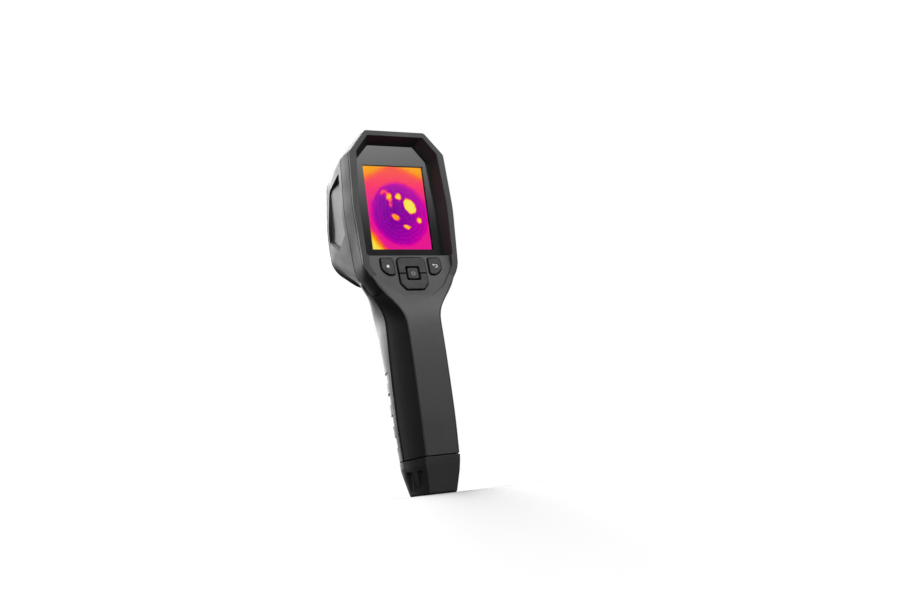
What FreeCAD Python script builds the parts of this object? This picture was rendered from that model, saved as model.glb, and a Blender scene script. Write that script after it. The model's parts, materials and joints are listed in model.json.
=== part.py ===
"""A hand-held thermal imaging camera, as an assembly of separate sub-parts.

Millimetres. +Z runs up the handle to the head, the lens looks along -Y, and the
screen faces +Y. The origin is the mouth of the tripod thread in the base.
Places along Y are mostly given as a depth: how far in front of the plane of the
screen's rim a point lies. Outlines seen from the front are lists of corners
(half width, height, corner radius) for one side, mirrored to make the other.
"""
import FreeCAD
import Part
import math
import os

V = FreeCAD.Vector

# Overall shape
HEIGHT = 208.0            # base to the top of the head
RIM_Y = 9.0               # the screen rim's plane, behind the tripod thread's axis
BELT = 13.5               # depth of the rear cover's belt round the head
NOSE_SPLIT = 44.0         # depth where the nose ring meets the body
RING_EDGE = 51.0          # depth of the edge between the ring's side and its bevel
LIP = 58.0                # depth of the ring's front lip
WALL = 2.2                # moulded wall
SEAM_GAP = 0.7            # open line between two mouldings
CAP_SEAM = 20.0           # height of the end cap's seam at the handle's back
CAP_SLOPE = 0.07          # fall of that seam towards the front, per millimetre
CAP_GAP = 0.7             # the open line above the cap
EAR_CLEAR = 0.15          # room between pieces that are assembled face to face
SLIVER = 0.5              # cubic millimetres; a smaller scrap of a cut isn't a piece

# Screen
SCREEN_Z = 164.7
SCREEN_W = 38.4
SCREEN_H = 50.0
GLASS_DEPTH = 7.5         # rim plane to the glass
GLASS_LEDGE = 0.8         # how far the glass reaches behind the edge of its window
GLASS_T = 1.2
PANEL_TOP_Z = 134.4       # where the key panel ends and the screen recess starts

# Key panel: a plane that leans back as it goes down
PANEL_TOP_DEPTH = 2.0
PANEL_LOW_Z = 111.0
PANEL_LOW_DEPTH = -0.9
PLATE = 1.4               # thickness of the rear bezel plate, along Y
KEY_RISE = 0.9            # key tops above the panel
KEY_GAP = 0.65            # room round each key
KEY_FLANGE = 1.1          # how far a key's retaining flange reaches past its hole
KEY_STEM = 4.4            # key top to the underside of its flange, below the panel's face

# Optics
PANEL_FRONT = 51.5        # depth of the sensor panel's front face
PANEL_T = 2.0
LENS_Z = 174.4
LENS_R = 5.6
BARREL_R = 10.9
LASER_Z = 157.7
LASER_R = 2.8
WINDOW_Z = 148.4
WINDOW_X = 7.7
WINDOW_R = 5.5

# Side pockets
POCKET_FLOOR_X = 27.5     # the floor's half width at mid height; it leans in towards the top
POCKET_LEAN = 0.035
POCKET_MID_Z = 167.0
POCKET_OPEN_X = 34.0
POCKET_WALL_X = 24.4
BADGE_T = 1.0

# Handle
GROOVES = 4
GROOVE_PITCH = 12.0
GROOVE_LOW_Z = 31.0
GROOVE_H = 6.0
GROOVE_DEPTH = 0.7
GROOVE_START = 11.5       # depth where each groove begins on the handle's side

# Trigger
TRIGGER_W = 12.6
TRIGGER_TOP = 110.0
TRIGGER_LOW = 82.5
TRIGGER_FRONT = 42.0      # depth of the paddle's face
TRIGGER_PIN_Z = 106.5
TRIGGER_PIN_DEPTH = 30.0
TRIGGER_PIN_R = 1.5
TRIGGER_GAP = 0.5
RUNNING = 0.05            # radial clearance of a running fit

# End cap, tripod thread and lanyard slot
THREAD_R = 2.6            # minor radius of a 1/4-20 thread
THREAD_L = 10.0
INSERT_R = 5.0
SLOT_LOW_Z = 3.0
SLOT_HIGH_Z = 13.6

# Port in the top of the head
PORT_DEPTH = 24.0
PORT_W = 15.0
PORT_L = 9.0
FLAP_T = 1.6
PORT_ROOM = 0.3           # room round the flap

# Inside the head and the handle
GASKET_T = 0.5
MODULE_T = 2.4            # thickness of the screen module
MODULE_RIM = 2.8          # metal frame round the lit area
CHASSIS_NEAR = 12.0       # depths of the chassis plate and the boards
CHASSIS_T = 1.6
BOARD_NEAR = 18.5
BOARD_T = 1.6
FRONT_BOARD_NEAR = 35.0
FRONT_BOARD_T = 1.4
BOARD_HALF_W = 23.0
POST_X = 21.8             # the four posts between the chassis and the main board
POST_ZS = (141.0, 194.0)
POST_R = 1.9
CORE_HALF = 9.5           # the infrared sensor's housing, which is square
BOSS_R = 2.9              # case screws
SCREW_HEAD_R = 1.9
SCREW_R = 1.0
BORE_ROOM = 0.05          # room round the case screws' shanks
CELL_HALF_W = 8.8         # the battery
CELL_DEPTHS = (3.4, 19.4)
CELL_ZS = (26.0, 72.0)
CELL_ROOM = 0.05
CRADLE_WALL = 0.9
LEAD_R = 0.9
CAP_SCREW_X = 8.6
CAP_SCREW_R = 1.2
FAR = 60.0                # beyond the object on any side of its axis

# Outlines seen from the front: half width, height, corner radius
REAR_FACE = [(19.9, 209.2, 2.5), (31.3, 196.0, 3.0), (33.0, 160.0, 80.0), (31.6, 129.3, 8.0),
             (10.3, 99.6, 14.0), (10.2, 45.0, 200.0), (9.7, 12.0, 1.0)]
RIM_INNER = [(17.9, 205.1, 2.0), (25.9, 195.3, 2.5), (28.2, 164.0, 60.0), (27.3, PANEL_TOP_Z, 0.4)]
GLASS_EDGE = [(15.0, 201.7, 1.5), (23.7, 192.0, 2.5), (24.4, 168.0, 80.0), (25.9, PANEL_TOP_Z, 0.4)]
PANEL_EDGE = [(26.3, 136.0, 0.4), (26.2, 128.0, 6.0), (18.2, 116.0, 8.0), (9.0, 109.6, 2.0)]
KEY_PAD = [(26.6, 134.2, 0.5), (26.4, 127.6, 5.0), (18.0, 114.8, 6.0), (9.0, 108.2, 2.0)]
SPLIT_EDGE = [(15.8, 202.8, 12.0), (26.2, 188.8, 14.0), (29.3, 161.5, 80.0), (28.9, 137.2, 14.0),
              (13.0, 126.2, 12.0)]
BEVEL_EDGE = [(14.0, 199.0, 11.0), (24.7, 186.6, 12.0), (26.6, 164.0, 80.0), (26.6, 141.0, 13.0),
              (11.8, 128.8, 11.0)]
LIP_EDGE = [(12.3, 194.9, 7.0), (22.0, 184.8, 8.0), (23.4, 163.9, 80.0), (22.2, 144.2, 12.0),
            (11.2, 133.2, 7.0)]

# The head's outline at several depths, rear to front
HEAD = [
    (0.0, [(19.1, HEIGHT, 2.5), (30.2, 195.0, 3.0), (31.8, 162.0, 80.0), (29.95, 127.0, 16.0),
           (21.3, 113.5, 3.0)]),
    (BELT, [(19.0, HEIGHT - 0.2, 3.0), (30.0, 195.0, 3.5), (31.6, 162.0, 80.0), (29.3, 126.2, 17.0),
            (21.2, 113.9, 3.0)]),
    (30.0, [(17.6, 206.2, 8.0), (28.0, 192.2, 9.0), (30.9, 159.0, 75.0), (29.3, 132.6, 15.0),
            (15.6, 122.2, 9.0)]),
    (NOSE_SPLIT, SPLIT_EDGE)]

# The handle's section at several heights: height, half width at the parting line, half width
# of the back facet, depth of the facet, of the parting line and of the front, fullness
GRIP = [
    (14.0, 17.3, 10.3, -6.3, 7.0, 23.2, 0.56),
    (45.0, 18.4, 10.7, -7.2, 7.0, 28.0, 0.56),
    (70.0, 18.2, 10.65, -6.9, 7.0, 31.2, 0.56),
    (90.0, 17.7, 10.65, -6.0, 7.1, 35.4, 0.59),
    (98.0, 17.3, 11.3, -5.0, 7.8, 37.0, 0.64),
    (104.0, 18.1, 13.9, -3.7, 9.1, 37.6, 0.63),
    (110.0, 19.9, 18.5, -2.3, 10.9, 37.0, 0.55),
    (116.0, 22.9, 23.0, -1.3, 12.5, 36.6, 0.42),
    (122.0, 26.2, 26.2, -0.5, 13.5, 37.0, 0.36)]
FLANK_SAG = 2.1           # how far the handle's flank curves in

# The end cap's section, in the same terms; the lip stands a little proud at the seam
CAP = [
    (24.0, 17.9, 10.9, -7.2, 7.0, 24.6, 0.56),
    (15.8, 17.6, 10.6, -5.6, 7.0, 24.2, 0.56),
    (12.0, 16.9, 9.8, -4.7, 7.2, 23.2, 0.56),
    (0.0, 13.7, 8.4, -1.8, 8.0, 19.8, 0.60)]


def point(x, depth, z):
    """A point given by its depth in front of the rim's plane."""
    return V(x, RIM_Y - depth, z)


def solid(shape):
    """The one solid of a result, or a compound where it really has several; slivers are dropped."""
    solids = [piece for piece in shape.removeSplitter().Solids if piece.Volume > SLIVER]
    return solids[0] if len(solids) == 1 else Part.makeCompound(solids)


def box(x, depth, z):
    """A block from (low, high) pairs in x, depth and z."""
    return Part.makeBox(x[1] - x[0], depth[1] - depth[0], z[1] - z[0], point(x[0], depth[1], z[0]))


def rod(x, depth, z, radius, length):
    """A round bar that starts at a depth and runs forwards."""
    return Part.makeCylinder(radius, length, point(x, depth, z), V(0, -1, 0))


def tube(x, depth, z, outer, inner, length):
    """A round tube that starts at a depth and runs forwards."""
    return rod(x, depth, z, outer, length).cut(rod(x, depth, z, inner, length))


def mirrored(half):
    """Both sides of an outline, from the corners of one side."""
    return half + [(-x, z, r) for x, z, r in reversed(half)]


def inset_corners(corners, inset):
    """The corners of the same polygon with each side moved inwards."""
    moved = []
    count = len(corners)
    for i in range(count):
        before = V(corners[i - 1][0], corners[i - 1][1], 0)
        here = V(corners[i][0], corners[i][1], 0)
        after = V(corners[(i + 1) % count][0], corners[(i + 1) % count][1], 0)
        first = (here - before).normalize()
        second = (after - here).normalize()
        normal = V(first.y, -first.x, 0) + V(second.y, -second.x, 0)
        reach = inset * 2 / normal.Length ** 2
        here = here + normal * reach
        moved.append((here.x, here.y, max(corners[i][2] - inset, 0.3)))
    return moved


def rounded_wire(corners, place):
    """A closed wire of straight sides and corner arcs; place turns (a, b) into a point."""
    edges = []
    count = len(corners)
    arcs = []
    for i in range(count):
        before = V(corners[i - 1][0], corners[i - 1][1], 0)
        here = V(corners[i][0], corners[i][1], 0)
        after = V(corners[(i + 1) % count][0], corners[(i + 1) % count][1], 0)
        back = (before - here).normalize()
        ahead = (after - here).normalize()
        half = back.getAngle(ahead) / 2
        radius = corners[i][2]
        reach = radius / math.tan(half)
        limit = 0.46 * min((before - here).Length, (after - here).Length)
        if reach > limit:
            reach = limit
            radius = reach * math.tan(half)
        centre = here + (back + ahead).normalize() * (radius / math.sin(half))
        middle = centre + (here - centre).normalize() * radius
        arcs.append((here + back * reach, middle, here + ahead * reach))
    for i in range(count):
        start, middle, end = [place(p.x, p.y) for p in arcs[i]]
        edges.append(Part.Arc(start, middle, end).toShape())
        following = arcs[(i + 1) % count][0]
        edges.append(Part.makeLine(end, place(following.x, following.y)))
    return Part.Wire(edges)


def front_wire(half, depth, inset=0.0):
    """An outline seen from the front, at a depth."""
    corners = mirrored(half)
    if inset:
        corners = inset_corners(corners, inset)
    return rounded_wire(corners, lambda a, b: point(a, depth, b))


def front_prism(half, near, far, inset=0.0):
    """A straight prism of a front outline, from one depth to another."""
    return Part.Face(front_wire(half, near, inset)).extrude(V(0, near - far, 0))


def loft(wires, ruled=False):
    return Part.makeLoft(wires, True, ruled)


def side_prism(points, half_width=FAR):
    """A prism across the object, from (depth, height) points or edges seen from the side."""
    wire = Part.makePolygon([point(-half_width, d, z) for d, z in points + points[:1]])
    return Part.Face(wire).extrude(V(2 * half_width, 0, 0))


def head(inset=0.0):
    """The head's outer shape behind the nose ring."""
    stations = [(depth, front_wire(half, depth, inset)) for depth, half in HEAD]
    return loft([wire for _, wire in stations])


def grip_wire(station, inset=0.0):
    """One horizontal section of the handle: facet, flanks, sides and front."""
    z, half, facet, back, parting, front, fullness = station
    half -= inset
    facet -= 0.5 * inset
    back += inset
    front -= inset
    reach = front - parting

    def side(sign):
        poles = [point(sign * half, parting, z), point(sign * half, parting + fullness * reach, z),
                 point(sign * fullness * half, front, z), point(0, front, z)]
        curve = Part.BezierCurve()
        curve.setPoles(poles)
        return curve.toShape()

    def flank(sign):
        rear = V(sign * facet, back, 0)
        fore = V(sign * half, parting, 0)
        along = fore - rear
        middle = (rear + fore) * 0.5
        steep = min(1.0, max(0.04, (half - facet) / 6.0))
        inward = V(-along.y, along.x, 0).normalize() * (sign * FLANK_SAG * steep)
        middle = middle + inward
        return Part.Arc(point(rear.x, rear.y, z), point(middle.x, middle.y, z),
                        point(fore.x, fore.y, z)).toShape()

    facet_line = Part.makeLine(point(-facet, back, z), point(facet, back, z))
    return Part.Wire(Part.__sortEdges__([facet_line, flank(1), side(1), side(-1), flank(-1)]))


def between(table, z):
    """A row of a table at any height, on a smooth curve that never overshoots its rows."""
    rows = sorted(table)
    k = max(i for i in range(len(rows) - 1) if rows[i][0] <= z)
    low, high = rows[k], rows[k + 1]
    span = high[0] - low[0]
    t = (z - low[0]) / span

    def slope(i, column):
        """The slope at a row: the harmonic mean of its neighbours', or none at a turn."""
        if i == 0 or i == len(rows) - 1:
            j = max(i, 1)
            return (rows[j][column] - rows[j - 1][column]) / (rows[j][0] - rows[j - 1][0])
        below = (rows[i][column] - rows[i - 1][column]) / (rows[i][0] - rows[i - 1][0])
        above = (rows[i + 1][column] - rows[i][column]) / (rows[i + 1][0] - rows[i][0])
        return 2 * below * above / (below + above) if below * above > 0 else 0.0

    row = [z]
    for column in range(1, len(low)):
        start, end = low[column], high[column]
        rise = span * slope(k, column)
        fall = span * slope(k + 1, column)
        row.append((2 * t ** 3 - 3 * t ** 2 + 1) * start + (t ** 3 - 2 * t ** 2 + t) * rise
                   + (3 * t ** 2 - 2 * t ** 3) * end + (t ** 3 - t ** 2) * fall)
    return tuple(row)


def heights(table, step=6.0):
    """Evenly spread heights between the ends of a table."""
    low, high = table[0][0], table[-1][0]
    count = round((high - low) / step)
    return [low + (high - low) * i / count for i in range(count)] + [high - 1e-6]


def grip(inset=0.0):
    """The handle's outer shape, flared at the top to run into the head."""
    return loft([grip_wire(between(GRIP, z), inset) for z in heights(GRIP)])


def envelope(inset=0.0):
    """Head and handle together."""
    return head(inset).fuse(grip(inset))


def seam_height(depth):
    """Height of the end cap's seam at a depth."""
    return CAP_SEAM - CAP_SLOPE * max(depth, 0.0)


def above_seam(gap):
    """All the room above the end cap's seam."""
    return side_prism([(-30, CAP_SEAM + gap), (0, CAP_SEAM + gap), (70, seam_height(70) + gap),
                       (70, 240), (-30, 240)])


def behind_parting(offset):
    """All the room behind the parting line between the rear cover and the body."""
    neck = [(BELT, 124.0), (12.5, 116.0), (10.9, 110.0), (9.1, 104.0), (7.8, 98.0), (7.1, 90.0),
            (7.0, 80.0)]
    curve = Part.BSplineCurve()
    curve.interpolate([point(-60, d + offset, z) for d, z in neck], InitialTangent=V(0, 0, -1),
                      FinalTangent=V(0, 0, -1))
    outline = [point(-60, 7.0 + offset, 80.0), point(-60, 7.0 + offset, -10), point(-60, -40, -10),
               point(-60, -40, 240), point(-60, BELT + offset, 240), point(-60, BELT + offset, 124.0)]
    edges = [curve.toShape()] + [Part.makeLine(a, b) for a, b in zip(outline, outline[1:])]
    return Part.Face(Part.Wire(edges)).extrude(V(120, 0, 0))


def cavity():
    """The room inside the mouldings, open at the back of the head for the screen."""
    inner_head = head(WALL).cut(box((-60, 60), (42.0, 60.0), (100, 240)))
    rear_opening = front_prism(HEAD[0][1], -2.0, BELT + 2.0, WALL)
    rows = [between(GRIP, z) for z in heights(GRIP)]
    inner_grip = loft([grip_wire((z, w - WALL, facet - 1.4, back + PLATE + 2.6, parting, front - WALL, k))
                       for z, w, facet, back, parting, front, k in rows])
    room = inner_head.fuse([rear_opening, inner_grip])
    for side in (1, -1):
        low, high = sorted((side * POCKET_WALL_X, side * 40.0))
        room = room.cut(box((low, high), (15.6, 60.0), (137.5, 192.5)))
    return room


# The floor of a side pocket, as (depth, height, corner radius)
POCKET_FLOOR = [(18.6, 185.6, 1.0), (36.8, 183.4, 1.6), (39.0, 181.0, 0.8), (42.2, 154.6, 0.8),
                (29.0, 146.2, 0.8), (18.0, 153.4, 0.6)]
POCKET_MOUTH = [(17.2, 190.4, 1.5), (40.6, 187.6, 2.0), (42.6, 184.6, 1.0), (42.6, 149.4, 0.8),
                (29.4, 140.4, 1.0), (16.6, 149.0, 0.6)]


def pocket_wire(outline, side, back=0.0):
    """A wire on the leaning plane of a pocket's floor, or that far behind it."""
    return rounded_wire(outline, lambda d, z: point(
        side * (POCKET_FLOOR_X - back - POCKET_LEAN * (z - POCKET_MID_Z)), d, z))


def pocket(side):
    """The cutter for one side pocket: five sloping walls down to its leaning floor."""
    mouth = rounded_wire(POCKET_MOUTH, lambda d, z: point(side * POCKET_OPEN_X, d, z))
    walls = loft([pocket_wire(POCKET_FLOOR, side), mouth], True)
    plate = loft([pocket_wire(POCKET_FLOOR, side, BADGE_T), pocket_wire(POCKET_FLOOR, side, -0.01)], True)
    return [walls, plate]


def side_panel(side):
    """The thin dark plate on the floor of a side pocket."""
    edge = inset_corners(POCKET_FLOOR, 0.1)
    return loft([pocket_wire(edge, side, BADGE_T), pocket_wire(edge, side)], True)


def grooves():
    """The cutters for the four shallow bands round the front of the handle."""
    core = grip(GROOVE_DEPTH)
    bands = []
    for i in range(GROOVES):
        middle = GROOVE_LOW_Z + i * GROOVE_PITCH
        band = box((-30, 30), (GROOVE_START, 60), (middle - GROOVE_H / 2, middle + GROOVE_H / 2))
        bands.append(band.cut(core))
    return bands


def panel_point(x, up, rise):
    """A point on the key panel: up along it from its lower end, and rise out of it."""
    run = PANEL_TOP_Z - PANEL_LOW_Z
    lean = math.atan2(PANEL_TOP_DEPTH - PANEL_LOW_DEPTH, run)
    depth = PANEL_LOW_DEPTH + up * math.sin(lean) - rise * math.cos(lean)
    return point(x, depth, PANEL_LOW_Z + up * math.cos(lean) + rise * math.sin(lean))


def panel_normal():
    return (panel_point(0, 0, 1) - panel_point(0, 0, 0)).normalize()


def panel_prism(corners, low, high, inset=0.0):
    """A prism square to the key panel, from rise low to rise high."""
    if inset:
        corners = inset_corners(corners, inset)
    wire = rounded_wire(corners, lambda a, b: panel_point(a, b - PANEL_LOW_Z, low))
    return Part.Face(wire).extrude(panel_normal() * (high - low))


def key_outlines():
    """Each key's outline on the panel, as corners in x and height."""
    side_key = [(18.8, 132.6, 1.2), (18.8, 125.6, 4.6), (15.0, 122.9, 2.0), (11.2, 122.9, 1.4),
                (11.2, 132.6, 1.2)]
    upper = [(8.6, 132.8, 2.6), (8.6, 123.75, 0.3), (4.4, 123.75, 0.3), (4.4, 127.6, 0.8),
             (-4.4, 127.6, 0.8), (-4.4, 123.75, 0.3), (-8.6, 123.75, 0.3), (-8.6, 132.8, 2.6)]
    lower = [(8.6, 123.25, 0.3), (8.6, 117.6, 2.4), (5.4, 114.0, 2.0), (-5.4, 114.0, 2.0),
             (-8.6, 117.6, 2.4), (-8.6, 123.25, 0.3), (-4.4, 123.25, 0.3), (-4.4, 119.4, 0.8),
             (4.4, 119.4, 0.8), (4.4, 123.25, 0.3)]
    power = [(3.3, 126.7, 1.0), (3.3, 120.3, 1.0), (-3.3, 120.3, 1.0), (-3.3, 126.7, 1.0)]
    return {"menu_key": side_key, "back_key": [(-x, z, r) for x, z, r in reversed(side_key)],
            "nav_up_key": upper, "nav_down_key": lower, "power_key": power}


def key_wells():
    """The holes in the key panel that the keys stand in: two side keys and one shared well."""
    outlines = key_outlines()
    shared = mirrored([(8.6, 132.8, 2.6), (8.6, 117.6, 2.4), (5.4, 114.0, 2.0)])
    return [outlines["menu_key"], outlines["back_key"], shared]


def key(name):
    """A key cap, its stem through the panel, and the flange that keeps it in."""
    outline = key_outlines()[name]
    cap = panel_prism(outline, -KEY_STEM, KEY_RISE)
    if name in ("menu_key", "back_key"):
        cap = cap.fuse(panel_prism(outline, -KEY_STEM, -KEY_STEM + 0.8, -KEY_FLANGE))
    if name in ("nav_up_key", "nav_down_key"):
        ring = panel_prism(key_wells()[2], -KEY_STEM, -KEY_STEM + 0.8, -KEY_FLANGE)
        half = (123.75, 140.0) if name == "nav_up_key" else (100.0, 123.25)
        inner = panel_prism(mirrored([(4.4, 127.6, 0.8), (4.4, 119.4, 0.8)]), -20, 20)
        row = mirrored([(20, half[1], 0.1), (20, half[0], 0.1)])
        cap = cap.fuse(ring.cut(inner).common(panel_prism(row, -20, 20)))
    top = [edge for edge in cap.Edges
           if all(abs((v.Point - panel_point(0, 0, KEY_RISE)).dot(panel_normal())) < 1e-4
                  for v in edge.Vertexes)]
    return solid(solid(cap).makeFillet(0.35, top))


def screen_recess():
    """The cutter for the sloping well over the glass, and the window through the bezel."""
    slope = loft([front_wire(RIM_INNER, -0.01), front_wire(GLASS_EDGE, GLASS_DEPTH)], True)
    outside = front_prism(RIM_INNER, -20.0, 0.0)
    window = front_prism(GLASS_EDGE, GLASS_DEPTH - 0.01, 12.0)
    return [slope, outside, window]


def key_panel_cut():
    """The cutter that leans the key panel back below the rim."""
    outline = front_prism(PANEL_EDGE, -20.0, 4.0)
    below = side_prism([(-30, 145.0), (PANEL_TOP_DEPTH, 145.0), (PANEL_TOP_DEPTH, PANEL_TOP_Z),
                        (PANEL_LOW_DEPTH, PANEL_LOW_Z), (PANEL_LOW_DEPTH - 1.5, PANEL_LOW_Z - 8.0),
                        (-30, PANEL_LOW_Z - 8.0)])
    low_x = PANEL_EDGE[-1][0] + 20.0
    return outline.common(below).common(box((-low_x, low_x), (-30, 10), (PANEL_LOW_Z - 1.0, 140.0)))


def rear_bezel(outer):
    """The rim round the screen, the key panel and the handle's back facet, in one moulding."""
    plate = outer.common(front_prism(REAR_FACE, -20.0, PLATE, EAR_CLEAR))
    behind = outer.copy()
    behind.translate(V(0, -PLATE, 0))
    plate = plate.cut(behind).common(above_seam(CAP_GAP))
    frame = front_prism(RIM_INNER, 0.5, 9.6, -0.4)
    pad = panel_prism(mirrored(KEY_PAD), -KEY_STEM, 5.0).common(outer)
    shape = plate.fuse([frame, pad])
    shape = shape.cut([*screen_recess(), key_panel_cut()])
    glass_seat = front_prism(GLASS_EDGE, GLASS_DEPTH, 12.0, -GLASS_LEDGE - EAR_CLEAR)
    shape = shape.cut(glass_seat)
    for well in key_wells():
        shape = shape.cut(panel_prism(well, -20, 20, -KEY_GAP))
        shape = shape.cut(panel_prism(well, -20, -KEY_STEM + 0.9, -KEY_FLANGE - KEY_GAP))
    return solid(shape)


def screw_places():
    """The case screws: x and height, then four depths: the back of the screw's head, the joint
    between cover and body, the screw's tip and the end of its boss."""
    top = [(side * 14.0, 203.2, 9.9, BELT, 22.0, 24.0) for side in (1, -1)]
    middle = [(side * 24.8, 126.6, 6.6, BELT, 21.0, 23.0) for side in (1, -1)]
    return top + middle + [(0.0, 78.5, -4.3, 7.0, 18.0, 31.0)]


def bosses(rear):
    """The screw bosses of the rear cover, or of the body."""
    posts = []
    for x, z, start, joint, _, end in screw_places():
        near = start if rear else joint + SEAM_GAP / 2
        far = joint - SEAM_GAP / 2 if rear else end
        posts.append(rod(x, near, z, BOSS_R, far - near))
    return posts


def screw_holes():
    """The bores and head recesses of the case screws."""
    holes = []
    for x, z, start, _, tip, _ in screw_places():
        holes.append(rod(x, start - 5.0, z, SCREW_R + BORE_ROOM, tip + 5.5 - start))
        holes.append(rod(x, start - 5.0, z, SCREW_HEAD_R + 0.4, 6.4))
    return holes


def rear_cover(outer, room):
    """The belt round the head and the handle's concave flanks."""
    shape = outer.cut(room).common(behind_parting(-SEAM_GAP / 2)).common(above_seam(CAP_GAP))
    recess = outer.common(front_prism(REAR_FACE, -20.0, PLATE + SEAM_GAP))
    behind = outer.copy()
    behind.translate(V(0, -PLATE - SEAM_GAP, 0))
    keys = front_prism(KEY_PAD, -20.0, 6.5, -0.4)
    shape = shape.cut([recess.cut(behind), keys, front_prism(RIM_INNER, -1.0, 9.9, -0.7)])
    shape = shape.fuse([post.common(outer) for post in bosses(True)])
    return solid(shape.cut(screw_holes()))


def trigger_slot():
    """The opening in the handle's front for the trigger."""
    half = TRIGGER_W / 2 + TRIGGER_GAP
    low = TRIGGER_LOW - 2 * TRIGGER_GAP
    corners = mirrored([(half, TRIGGER_TOP + TRIGGER_GAP, 3.0), (half, low, 3.0)])
    wire = rounded_wire(corners, lambda a, b: point(a, 24.0, b))
    return Part.Face(wire).extrude(V(0, -30, 0))


def body_shell(outer, room):
    """The head's sides and top, the neck and the front of the handle."""
    shape = outer.cut(room).cut(behind_parting(SEAM_GAP / 2)).common(above_seam(CAP_GAP))
    shape = shape.fuse([post.common(outer) for post in bosses(False) + trigger_mount()])
    shape = shape.cut(screw_holes() + [trigger_bore(TRIGGER_PIN_R + 0.02)])
    shape = shape.cut(pocket(1) + pocket(-1))
    shape = shape.cut([*grooves(), trigger_slot(), port_opening()])
    shape = shape.cut(front_prism(SPLIT_EDGE, 41.5, 60.0, 4.2))
    return solid(shape)


def port_block(room, low):
    """A block with the flap's outline, from a height up through the head's top."""
    half_w, half_l = PORT_W / 2 + room, PORT_L / 2 + room
    return box((-half_w, half_w), (PORT_DEPTH - half_l, PORT_DEPTH + half_l), (low, HEIGHT + 7.0))


def port_opening():
    """The well in the top of the head that the port's flap closes."""
    return port_block(PORT_ROOM, 195.0)


def nose_ring():
    """The bevelled ring round the lens opening."""
    outer = loft([front_wire(SPLIT_EDGE, NOSE_SPLIT + SEAM_GAP), front_wire(BEVEL_EDGE, RING_EDGE),
                  front_wire(LIP_EDGE, LIP)], True)
    mouth = loft([front_wire(LIP_EDGE, PANEL_FRONT, 2.8), front_wire(LIP_EDGE, LIP + 0.01, 0.9)], True)
    seat = front_prism(LIP_EDGE, 40.0, PANEL_FRONT, 1.4)
    shape = outer.cut([mouth, seat])
    for side in (1, -1):
        low, high = sorted((side * 0.6, side * 6.5))
        shape = shape.cut(box((low, high), (46.5, 54.5), (118.0, 126.8)))
    return solid(shape)


def sensor_panel():
    """The dark panel behind the ring, with the holes of the optics."""
    shape = front_prism(LIP_EDGE, PANEL_FRONT - PANEL_T, PANEL_FRONT, 1.4 + EAR_CLEAR)
    holes = [rod(0, 40, LENS_Z, BARREL_R, 20), rod(0, 40, LASER_Z, LASER_R, 20)]
    holes += [rod(side * WINDOW_X, 40, WINDOW_Z, WINDOW_R, 20) for side in (1, -1)]
    return solid(shape.cut(holes))


def lens_barrel():
    """The stepped barrel: a conical mouth that narrows to the lens."""
    outside = rod(0, 36.0, LENS_Z, BARREL_R - EAR_CLEAR, 15.3)
    mouth = Part.makeCone(LENS_R + 1.6, BARREL_R - 1.0, 9.0, point(0, 42.3, LENS_Z), V(0, -1, 0))
    bore = rod(0, 35.0, LENS_Z, LENS_R + 0.1, 8.0)
    step = rod(0, 41.0, LENS_Z, LENS_R + 1.6, 2.0)
    return solid(outside.cut([mouth, bore, step]))


def lens_retainer():
    """The threaded ring that holds the lens in its barrel."""
    return solid(tube(0, 41.1, LENS_Z, LENS_R + 1.5, LENS_R - 0.4, 1.0))


def ir_lens():
    """The domed infrared lens."""
    disc = rod(0, 37.5, LENS_Z, LENS_R, 3.5)
    sphere_r = 14.0
    sag = sphere_r - math.sqrt(sphere_r ** 2 - (LENS_R - 0.5) ** 2)
    ball = Part.makeSphere(sphere_r, point(0, 41.0 + sag - sphere_r, LENS_Z))
    dome = ball.common(rod(0, 40.9, LENS_Z, LENS_R - 0.5, 4.0))
    return solid(disc.fuse(dome))


def lens_oring():
    """The seal behind the lens."""
    return Part.makeTorus(LENS_R - 0.8, 0.6, point(0, 36.8, LENS_Z), V(0, 1, 0))


def display_glass():
    return front_prism(GLASS_EDGE, GLASS_DEPTH, GLASS_DEPTH + GLASS_T, -GLASS_LEDGE)


def screen_box(margin, near, thickness):
    """A block round the lit area, wider by a margin all round."""
    half_w, half_h = SCREEN_W / 2 + margin, SCREEN_H / 2 + margin
    return box((-half_w, half_w), (near, near + thickness), (SCREEN_Z - half_h, SCREEN_Z + half_h))


def display_gasket():
    """The foam frame between the glass and the screen module."""
    near = GLASS_DEPTH + GLASS_T
    return solid(screen_box(MODULE_RIM + 0.4, near, GASKET_T).cut(screen_box(0.8, near, GASKET_T)))


def display_module():
    return screen_box(MODULE_RIM, GLASS_DEPTH + GLASS_T + GASKET_T, MODULE_T)


def key_mat():
    """The rubber mat under the keys, with a dome under each."""
    corners = mirrored([(20.0, 131.6, 2.0), (20.0, 124.0, 3.0), (9.5, 112.6, 2.0)])
    sheet = panel_prism(corners, -KEY_STEM - 2.6, -KEY_STEM - 1.8)
    domes = []
    for x, z in ((15.0, 127.6), (-15.0, 127.6), (0.0, 130.2), (0.0, 116.6), (0.0, 123.5)):
        base = panel_point(x, z - PANEL_LOW_Z, -KEY_STEM - 1.9)
        domes.append(Part.makeCone(2.2, 1.5, 1.2, base, panel_normal()))
    return solid(sheet.fuse(domes))


def key_board():
    corners = mirrored([(19.6, 131.4, 1.0), (19.6, 124.2, 2.0), (9.4, 113.0, 1.0)])
    return panel_prism(corners, -KEY_STEM - 3.8, -KEY_STEM - 2.65)


def post_places():
    return [(x, z) for x in (-POST_X, POST_X) for z in POST_ZS]


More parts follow.
